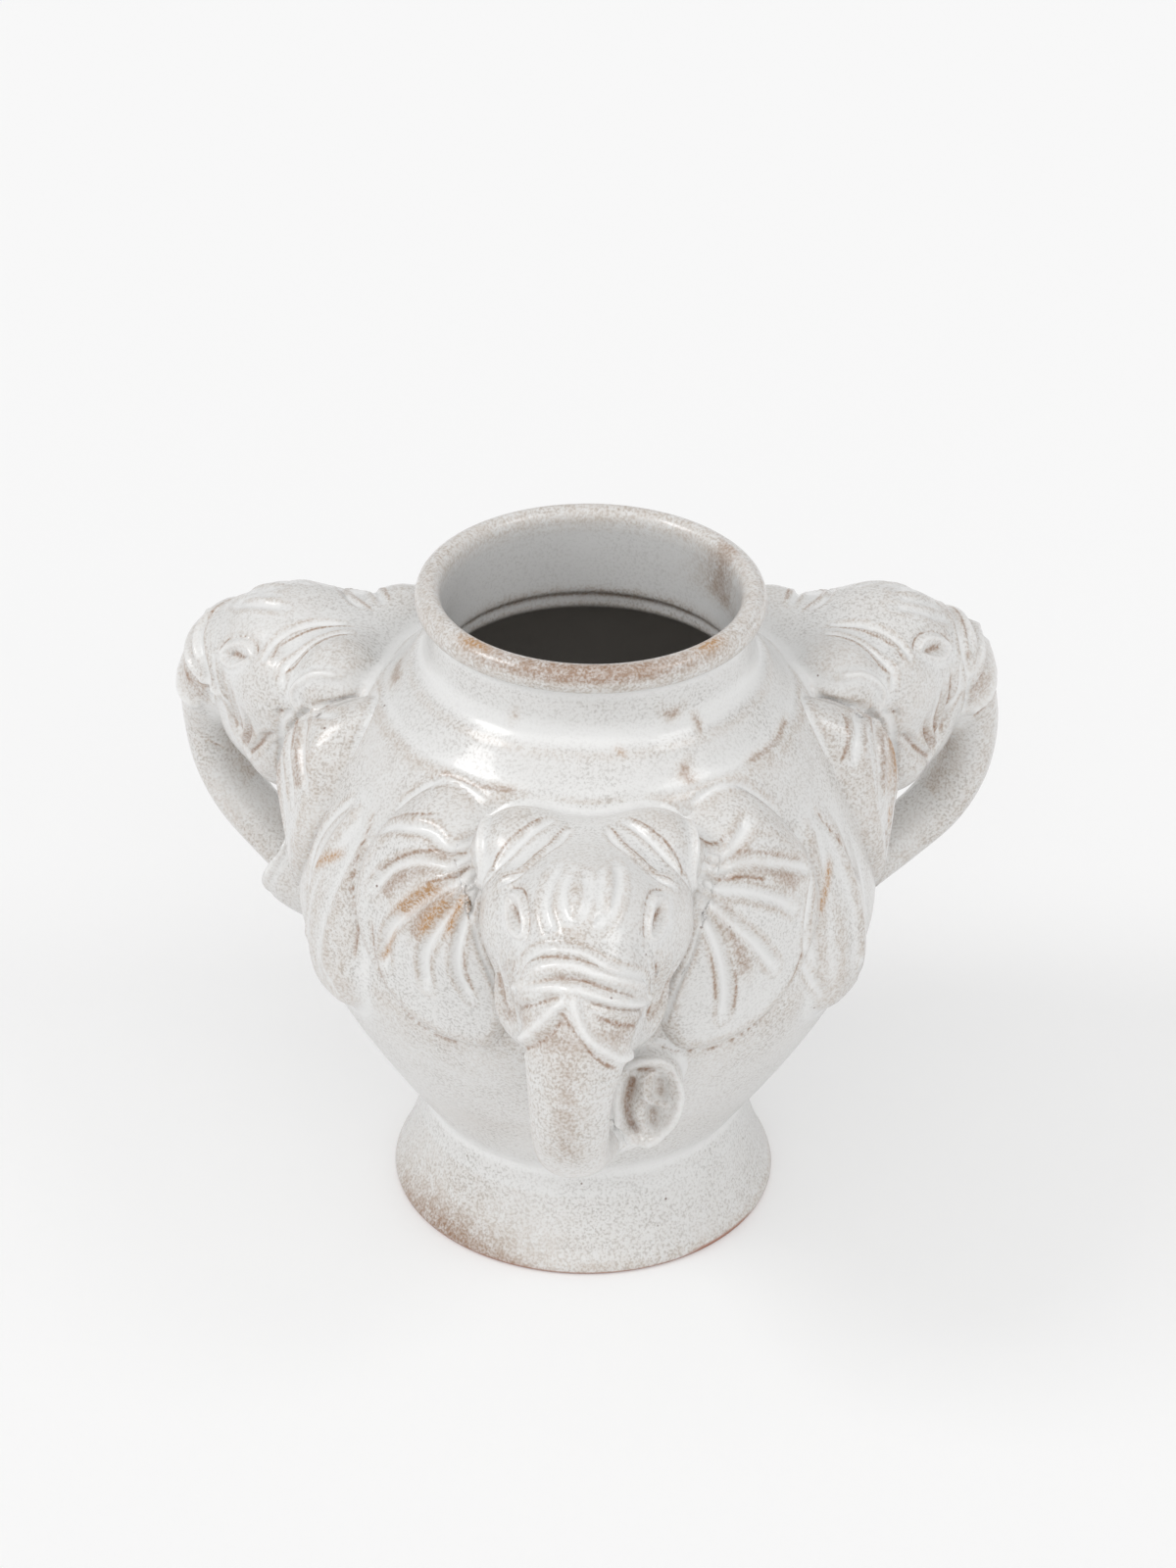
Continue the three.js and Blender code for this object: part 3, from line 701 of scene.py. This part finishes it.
def foot_ring():
    """The flared foot, hollow underneath."""
    outer = [p for p in outside_line(FOOT_EDGE, FOOT_HEIGHT) if p[1] > FOOT_EDGE]
    edge = [(55.2, 0.5), (56.0, 0.0), (61.2, 0.0), (62.0, 0.3), (62.5, 1.2)]
    under = [(44.5, 37.5), (44.5, 34.0), (48.2, 13.0), (54.6, 1.2)]
    line = even_line(under + edge + outer + [(50.0, 38.6), (44.5, 37.5)], 1.0)
    return turned("glazed_foot", line, 480, {"rust": foot_rust, "bare": foot_bare})


def painted_inside_shade(p):
    """Painted shade: how far a place lies down inside the vase, where the inside is coloured darker
    grey.
    """
    wall = np.interp(p[:, 2], VESSEL_Z, VESSEL_R) - 4.0
    within = np.hypot(p[:, 0], p[:, 1]) < wall
    return np.where(within & (p[:, 2] > 34.5), smooth_step(186, 180, p[:, 2]), 0.0)


# The thickness of the belly's wall
WALL = 6.5


def belly():
    """The thrown body: its outside with the swells, its top edge, inner wall and floor."""
    outer = outside_line(FOOT_HEIGHT, SHOULDER_Z)
    inner = [(float(belly_radius(np.array(z))) - WALL, z) for z in np.arange(180.0, 50.0, -2.0)]
    under = [(8.0, 34.3), (47.0, 34.3)]
    top = [(59.8, 184.0), (59.8, 182.0)]
    floor = [(46.0, 44.5), (8.0, 43.0)]
    line = even_line([*under, *outer, *top, *inner, *floor], 1.2)
    # inside: painted shade, the deep inside of the belly coloured darker grey
    return turned("glazed_belly", line, 520, {"inside": painted_inside_shade})


def lip_rust(p):
    """The glaze breaks to brown along the lip, strongest on its front edge, on the ledge
    inside the mouth, and in a scuff on the wall above it."""
    radius = np.hypot(p[:, 0], p[:, 1])
    edge = smooth_step(212.5, 217.5, p[:, 2]) * smooth_step(48.0, 50.5, radius)
    ledge = bell(p[:, 2] - 189.4, 1.5) * (radius < 49)
    scuff = bell(turn_of(p) - 118, 16) * smooth_step(197, 204, p[:, 2]) * (radius < 50)
    inner = np.maximum(0.9 * ledge, 0.7 * scuff)
    return np.maximum(edge * (0.2 + 0.7 * bell(turn_of(p), 55)), inner)


def painted_inner_wall_light(p):
    """Painted light: the wall inside the mouth is coloured whiter through the pooled mask, as if more
    brightly lit.
    """
    return 0.6 * (np.hypot(p[:, 0], p[:, 1]) < 47.5) * smooth_step(190, 194, p[:, 2])


def neck_collar():
    """The collar in two soft steps, the neck, the rolled lip and the wall inside the mouth."""
    outer = [p for p in outside_line(SHOULDER_Z, 212.0) if p[1] < 210.2]
    lip = curve_points([(50.8, 210.2, 0), (51.4, 211.2, 0), (53.3, 212.2, 0), (54.2, 215.0, 0),
                        (53.4, 218.3, 0), (50.6, 220.0, 0), (48.0, 219.3, 0), (46.5, 217.0, 0),
                        (46.0, 213.5, 0)], 0.5)[:, :2]
    inner = [(46.0, 191.4), (46.5, 190.2), (47.9, 189.3), (48.3, 188.4), (48.1, 185.0),
             (49.0, 183.4), (52.0, 182.0), (58.5, 180.0), (59.8, 178.0)]
    line = even_line([*outer, *[tuple(p) for p in lip], *inner, (62.0, 176.7), outer[0]], 0.9)
    # pooled here also carries painted light on the wall inside the mouth, and inside carries painted
    # shade deeper down
    extra = {"rust": lip_rust, "pooled": painted_inner_wall_light, "inside": painted_inside_shade}
    return turned("glazed_neck_collar", line, 440, extra)


# The grid of an ear's skin in degrees and millimetres, and how deep its back lies in the wall
EAR_TURNS = np.arange(10.0, 58.0, 0.32)
EAR_HEIGHTS = np.arange(101.0, 184.0, 0.52)
EAR_BACK = 3.0


def ear(name, turn, hand, spread):
    """An ear: a low fan on the vessel, its free edge sunk a little into the belly."""
    t, z = np.meshgrid(EAR_TURNS * hand, EAR_HEIGHTS, indexing="ij")
    high = ear_height(t.ravel(), z.ravel(), hand, spread).reshape(t.shape)
    floor = lobe_height((t + turn).ravel(), z.ravel()).reshape(t.shape)
    base = np.interp(z, VESSEL_Z, VESSEL_R) + floor
    high = np.where(high > 0, np.maximum(high - floor, 0.02), high)
    kept = high > -0.98 * EAR_TUCK
    cell = kept[:-1, :-1] | kept[1:, :-1] | kept[1:, 1:] | kept[:-1, 1:]
    i, j = np.nonzero(cell)
    corners = np.stack([np.stack([i, j], 1), np.stack([i + 1, j], 1),
                        np.stack([i + 1, j + 1], 1), np.stack([i, j + 1], 1)], 1)
    used = np.unique(corners.reshape(-1, 2), axis=0)
    number = np.full(t.shape, -1)
    number[used[:, 0], used[:, 1]] = np.arange(len(used))
    quads = number[corners[..., 0], corners[..., 1]]
    if hand < 0:
        quads = quads[:, ::-1]
    at = tuple(used.T)
    angle, rise = np.radians(t[at] + turn), z[at]
    skin, back = [np.stack([r * np.sin(angle), -r * np.cos(angle), rise], 1)
                  for r in ((base + high)[at], base[at] - EAR_BACK)]
    sides = np.vstack([quads[:, [k, (k + 1) % 4]] for k in range(4)])
    key = sides[:, 0] * len(used) + sides[:, 1]
    twin = sides[:, 1] * len(used) + sides[:, 0]
    rim = sides[~np.isin(key, twin)]
    wall = np.stack([rim[:, 1], rim[:, 0], rim[:, 0] + len(used), rim[:, 1] + len(used)], 1)
    faces = np.vstack([quads, quads[:, ::-1] + len(used), wall])
    return finished(name, np.vstack([skin, back]), faces)


def turned_about(points, turn):
    """The points turned round the vase by some degrees."""
    c, s = math.cos(math.radians(turn)), math.sin(math.radians(turn))
    x, y, z = points.T
    return np.stack([x * c - y * s, x * s + y * c, z], 1)


def ear_map(hand, spread):
    """One ear's height, worked out once on a grid."""
    return ReliefMap(np.arange(-62, 62.1, 0.5), np.arange(96, 190, 0.6),
                     lambda t, z: ear_height(t, z, hand, spread))


EAR_MAPS = {name: (ear_map(1, left), ear_map(-1, right))
            for name, (_, left, right, _) in ELEPHANTS.items()}


def ground_height(t, z, name):
    """Height above the thrown vessel of the swells and of the ears of one elephant."""
    high = lobe_height(t + ELEPHANTS[name][0], z)
    for ears in EAR_MAPS[name]:
        high = np.maximum(high, np.where(np.abs(t) < 61, ears.read(np.clip(t, -61, 61), z), -9))
    return high


def on_ground(places, name):
    """Points on the vessel or an ear, from (turn, up) places in an elephant's frame."""
    t, z = places.T
    r = np.interp(z, VESSEL_Z, VESSEL_R) + ground_height(t, z, name)
    return np.stack([r * np.sin(np.radians(t)), -r * np.cos(np.radians(t)), z], 1)


def all_lines():
    """Every line as (kind, half width, depth, its path round the vase)."""
    lines = []

    def lay(turn, line, points):
        path = curve_points(turned_about(np.array(points, float), turn), 1.5)
        lines.append((*line[:3], path))

    for name, (turn, left, right, lowered) in ELEPHANTS.items():
        for line in HEAD_LINES:
            lay(turn, line, [(x, -out, up) for x, out, up in line[3]])
        for side in (-1, 1):
            for line in BOTH_SIDES_OF_HEAD:
                lay(turn, line, [(side * x, -out, up) for x, out, up in line[3]])
            for line in EYE_LINES:
                lay(turn, line, [(side * x, -out, up - lowered) for x, out, up in line[3]])
        for table, hand, spread in ((LEFT_EAR_LINES, 1, left), (RIGHT_EAR_LINES, -1, right)):
            for line in table:
                corners = [(hand * float(spread_turn(np.array(t), spread)), up, 0) for t, up in line[3]]
                places = curve_points(corners, 2.0)
                lay(turn, line, on_ground(places[:, :2], name))
    for line in SHOULDER_LINES:
        lay(0.0, line, on_ground(np.array(line[3], float), "front"))
    for middle in LOBE_TURNS:
        for line in SWELL_LINES:
            places = curve_points([(middle + t, up, 0) for t, up in line[3]], 2.0)
            lay(0.0, line, on_ground(places[:, :2], "front"))
    return lines


LINES = all_lines()


def ground(p, name):
    """The vessel and the two ears, as the head and the trunk of one elephant find them."""
    return on_vessel(p, ground_height(turn_of(p), p[:, 2], name))


def let_in(join, under, form, below, deep, reach):
    """A piece's skin, a little below the smooth join with its neighbours: it ends a short
    way down in what it sits on, and a short way round its own form."""
    return np.maximum(np.maximum(join + below, -(under + deep)), form - reach)


def head_on_ground(p, name):
    """The head smoothed into what it sits on, the bare head, and what it sits on."""
    under = ground(p, name)
    form = head_form(p)
    return blend(form, under, 5.0), form, under


def head(name):
    """A head, smoothed out over the vessel and ears and let a little into them."""
    def field(p):
        joined, form, under = head_on_ground(p, name)
        return let_in(joined, under, form, below=0.05, deep=2.5, reach=6.0)
    points, faces = sculpt(field, (-42, -145, 112), (42, -58, 194), SCULPT_STEP)
    return finished(f"modelled_{name}_head", turned_about(points, ELEPHANTS[name][0]), faces)


def trunk_rust(p):
    """The glaze runs thin down the front of the trunk and over the folds at its root."""
    down = bell(p[:, 0] + 5, 8) * smooth_step(98, 112, p[:, 2]) * (p[:, 1] < -128)
    root = bell(p[:, 2] - 152, 9) * (p[:, 1] < -132)
    return np.maximum(0.55 * down, 0.6 * root)


def trunk(name):
    """A trunk from the face down and back to the belly, with its rolled tip beside it."""
    def field(p):
        joined, _, _ = head_on_ground(p, name)
        form = blend(trunk_form(p), tip_form(p), 3.0)
        return let_in(blend(form, joined, 4.0), joined, form, below=0.1, deep=3.0, reach=5.0)
    points, faces = sculpt(field, (-22, -158, 56), (34, -70, 182), SCULPT_STEP)
    turn = ELEPHANTS[name][0]
    extra = {"rust": lambda q: trunk_rust(turned_about(q, -turn))}
    return finished(f"modelled_{name}_trunk", turned_about(points, turn), faces, extra=extra)


# Finishes


def colour(code):
    """An sRGB hex colour as the linear values that the nodes take."""
    parts = [int(code[i:i + 2], 16) / 255 for i in (1, 3, 5)]
    return (*[c / 12.92 if c <= 0.04045 else ((c + 0.055) / 1.055) ** 2.4 for c in parts], 1.0)


def add(tree, kind, settings=None, **links):
    """A node with its settings, and its inputs set or linked: each by its name, or as _0,
    _1 and so on by its place."""
    node = tree.nodes.new(kind)
    for key, value in (settings or {}).items():
        setattr(node, key, value)
    for key, value in links.items():
        numbered = key[0] == "_" and key[1:].isdigit()
        socket = node.inputs[int(key[1:])] if numbered else node.inputs[key.replace("_", " ")]
        if isinstance(value, bpy.types.NodeSocket):
            tree.links.new(value, socket)
        else:
            socket.default_value = value
    return node


def per_mm(size):
    """The noise scale that gives spots about this many millimetres across."""
    return 1.0 / (size * MM)


# Settings of the nodes that lay one colour over another and multiply two masks
BLEND = {"data_type": "RGBA"}
TIMES = {"operation": "MULTIPLY"}


def glazed_stoneware():
    """Satin white glaze over a red-brown stoneware: milky where it pools, freckled where
    it is thin, rusty on edges, with ochre patches, dark iron specks and a bare foot."""
    material = bpy.data.materials.new("satin_white_glaze_on_stoneware")
    material.use_nodes = True
    tree = material.node_tree
    tree.nodes.clear()
    place = add(tree, "ShaderNodeTexCoord").outputs["Object"]
    # the pooled attribute also brings painted light on the wall inside the mouth
    pooled, rust, ochre, bare, inside = [
        add(tree, "ShaderNodeAttribute", {"attribute_name": label}).outputs["Fac"]
        for label in ("pooled", "rust", "ochre", "bare", "inside")]
    # broad clouds of thicker and thinner glaze, a few centimetres across
    cloud = add(tree, "ShaderNodeTexNoise", Vector=place, Scale=per_mm(24), Detail=4.0,
                Roughness=0.6).outputs["Fac"]
    # patches of a few millimetres, where the glaze breaks
    patch = add(tree, "ShaderNodeTexNoise", Vector=place, Scale=per_mm(4), Detail=4.0,
                Roughness=0.7).outputs["Fac"]
    # the fine freckle of the body through the glaze, drawn about twice its real size
    grain = add(tree, "ShaderNodeTexNoise", Vector=place, Scale=per_mm(0.9), Detail=2.0,
                Roughness=0.6).outputs["Fac"]
    thinness = add(tree, "ShaderNodeMapRange", Value=cloud, From_Min=0.38, From_Max=0.62,
                   To_Min=0.2, To_Max=0.6).outputs[0]
    freckle = add(tree, "ShaderNodeMapRange", Value=grain, From_Min=0.48, From_Max=0.66).outputs[0]
    freckle = add(tree, "ShaderNodeMath", TIMES, _0=freckle, _1=thinness).outputs[0]
    # rust: a soft brown stain in grainy patches, darker and fuller where the glaze is thinnest; in the
    # nostril dents part of it is painted shade
    grainy = add(tree, "ShaderNodeMapRange", Value=grain, From_Min=0.42, From_Max=0.6).outputs[0]
    broken = add(tree, "ShaderNodeMapRange", Value=patch, From_Min=0.35, From_Max=0.6).outputs[0]
    broken = add(tree, "ShaderNodeMix", _0=0.5, _2=broken, _3=grainy).outputs[0]
    stained = add(tree, "ShaderNodeMath", TIMES, _0=rust, _1=broken).outputs[0]
    dark = add(tree, "ShaderNodeMapRange", Value=rust, From_Min=0.45, From_Max=1.0,
               To_Max=0.85).outputs[0]
    firmer = add(tree, "ShaderNodeMix", _0=0.35, _2=broken, _3=1.0).outputs[0]
    dark = add(tree, "ShaderNodeMath", TIMES, _0=dark, _1=firmer).outputs[0]
    fuller = add(tree, "ShaderNodeMix", _0=0.4, _2=grainy, _3=1.0).outputs[0]
    golden = add(tree, "ShaderNodeMath", TIMES, _0=ochre, _1=fuller).outputs[0]
    # iron specks about a centimetre apart, only some of them dark
    speck = add(tree, "ShaderNodeTexVoronoi", Vector=place, Scale=per_mm(9))
    spot = add(tree, "ShaderNodeMapRange", Value=speck.outputs["Distance"], From_Min=0.035,
               From_Max=0.055, To_Min=1.0, To_Max=0.0).outputs[0]
    some = add(tree, "ShaderNodeSeparateColor", Color=speck.outputs["Color"]).outputs[0]
    some = add(tree, "ShaderNodeMapRange", Value=some, From_Min=0.45, From_Max=0.9,
               To_Max=0.8).outputs[0]
    spot = add(tree, "ShaderNodeMath", TIMES, _0=spot, _1=some).outputs[0]
    # the milky glaze, and what lies over it in this order
    base = add(tree, "ShaderNodeMix", BLEND, _0=cloud, _6=colour("#eaeae9"),
               _7=colour("#e2e1df")).outputs[2]
    # the inside mask lays painted shade: a darker grey deep inside the vase
    for share, code in ((freckle, "#a39e98"), (pooled, "#f1f1f0"), (stained, "#b19a82"),
                        (dark, "#8c6244"), (golden, "#b5854b"), (spot, "#6b4a3a"),
                        (inside, "#a9a5a0"), (bare, "#a5694b")):
        base = add(tree, "ShaderNodeMix", BLEND, _0=share, _6=base, _7=colour(code)).outputs[2]
    bump = add(tree, "ShaderNodeBump", Strength=0.25, Distance=0.15 * MM, Height=patch).outputs[0]
    shader = add(tree, "ShaderNodeBsdfPrincipled", Base_Color=base, Roughness=0.28, IOR=1.5,
                 Coat_Weight=0.5, Coat_Roughness=0.08, Normal=bump)
    add(tree, "ShaderNodeOutputMaterial", Surface=shader.outputs[0])
    return material


def pale_floor():
    """White sweep: plain to the light, a touch brighter to the eye, so it reads white."""
    material = bpy.data.materials.new("pale_paper_floor")
    material.use_nodes = True
    tree = material.node_tree
    tree.nodes.clear()
    paper = add(tree, "ShaderNodeBsdfDiffuse", Color=colour("#f6f6f6")).outputs[0]
    seen = add(tree, "ShaderNodeBsdfDiffuse", Color=colour("#d6d6d6")).outputs[0]
    lift = add(tree, "ShaderNodeEmission", Strength=0.3).outputs[0]
    seen = add(tree, "ShaderNodeAddShader", _0=seen, _1=lift).outputs[0]
    eye = add(tree, "ShaderNodeLightPath").outputs["Is Camera Ray"]
    surface = add(tree, "ShaderNodeMixShader", _0=eye, _1=paper, _2=seen).outputs[0]
    add(tree, "ShaderNodeOutputMaterial", Surface=surface)
    return material


# The vase

glaze = glazed_stoneware()


def set_on_vase(piece, node):
    """Glazes a piece and puts it in the place of its plain solid."""
    piece.data.materials.append(glaze)
    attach(piece, "root")
    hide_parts(node)


set_on_vase(foot_ring(), "foot_ring")
set_on_vase(belly(), "belly")
set_on_vase(neck_collar(), "neck_collar")
for name, (turn, left, right, _) in ELEPHANTS.items():
    set_on_vase(head(name), f"{name}_head")
    set_on_vase(trunk(name), f"{name}_trunk")
    set_on_vase(ear(f"modelled_{name}_ear_left", turn, 1, left), f"{name}_ear_left")
    set_on_vase(ear(f"modelled_{name}_ear_right", turn, -1, right), f"{name}_ear_right")

# Floor, light and camera

floor_mesh = bpy.data.meshes.new("floor")
half = 6
corners = [(-half, -half, 0), (half, -half, 0), (half, half, 0), (-half, half, 0)]
floor_mesh.from_pydata(corners, [], [(0, 1, 2, 3)])
floor = bpy.data.objects.new("floor", floor_mesh)
bpy.context.scene.collection.objects.link(floor)
floor_mesh.materials.append(pale_floor())

world = bpy.data.worlds.new("studio")
bpy.context.scene.world = world
world.use_nodes = True
sky = world.node_tree.nodes["Background"].inputs
sky["Color"].default_value = (1, 1, 1, 1)
sky["Strength"].default_value = 0.58

# A softbox on the left and a weaker one on the right, a wide one overhead behind the
# viewer, and a low one in front that fills the foot and the underside
LAMPS = (("left_softbox", 0.65, 22, (0.72, 0.2, -0.67)),
         ("right_softbox", 0.3, 22, (-0.62, 0.25, -0.74)),
         ("overhead_softbox", 0.45, 70, (0.1, 0.5, -0.86)),
         ("low_softbox", 0.35, 70, (-0.2, 0.93, -0.3)))
for label, energy, spread, heading in LAMPS:
    lamp = bpy.data.lights.new(label, "SUN")
    lamp.energy = energy
    lamp.angle = math.radians(spread)
    lamp_place = bpy.data.objects.new(label, lamp)
    lamp_place.rotation_euler = Vector(heading).to_track_quat("-Z", "Y").to_euler()
    bpy.context.scene.collection.objects.link(lamp_place)

# The photo's camera looks down on the vase, tilted a touch to one side
camera = bpy.data.cameras.new("camera")
camera.lens = 103.5
camera.sensor_width = 36.0
viewer = bpy.data.objects.new("camera", camera)
place = Vector((-0.0001, -1.2063, 0.9009))
tilt, roll = math.radians(32.0), math.radians(0.757)
look = Vector((0, math.cos(tilt), -math.sin(tilt)))
level_right, level_up = Vector((1, 0, 0)), Vector((0, math.sin(tilt), math.cos(tilt)))
right = math.cos(roll) * level_right + math.sin(roll) * level_up
up = -math.sin(roll) * level_right + math.cos(roll) * level_up
viewer.matrix_world = Matrix(((right.x, up.x, -look.x, place.x),
                              (right.y, up.y, -look.y, place.y),
                              (right.z, up.z, -look.z, place.z), (0, 0, 0, 1)))
bpy.context.scene.collection.objects.link(viewer)
bpy.context.scene.camera = viewer
bpy.context.scene.view_settings.view_transform = "Standard"
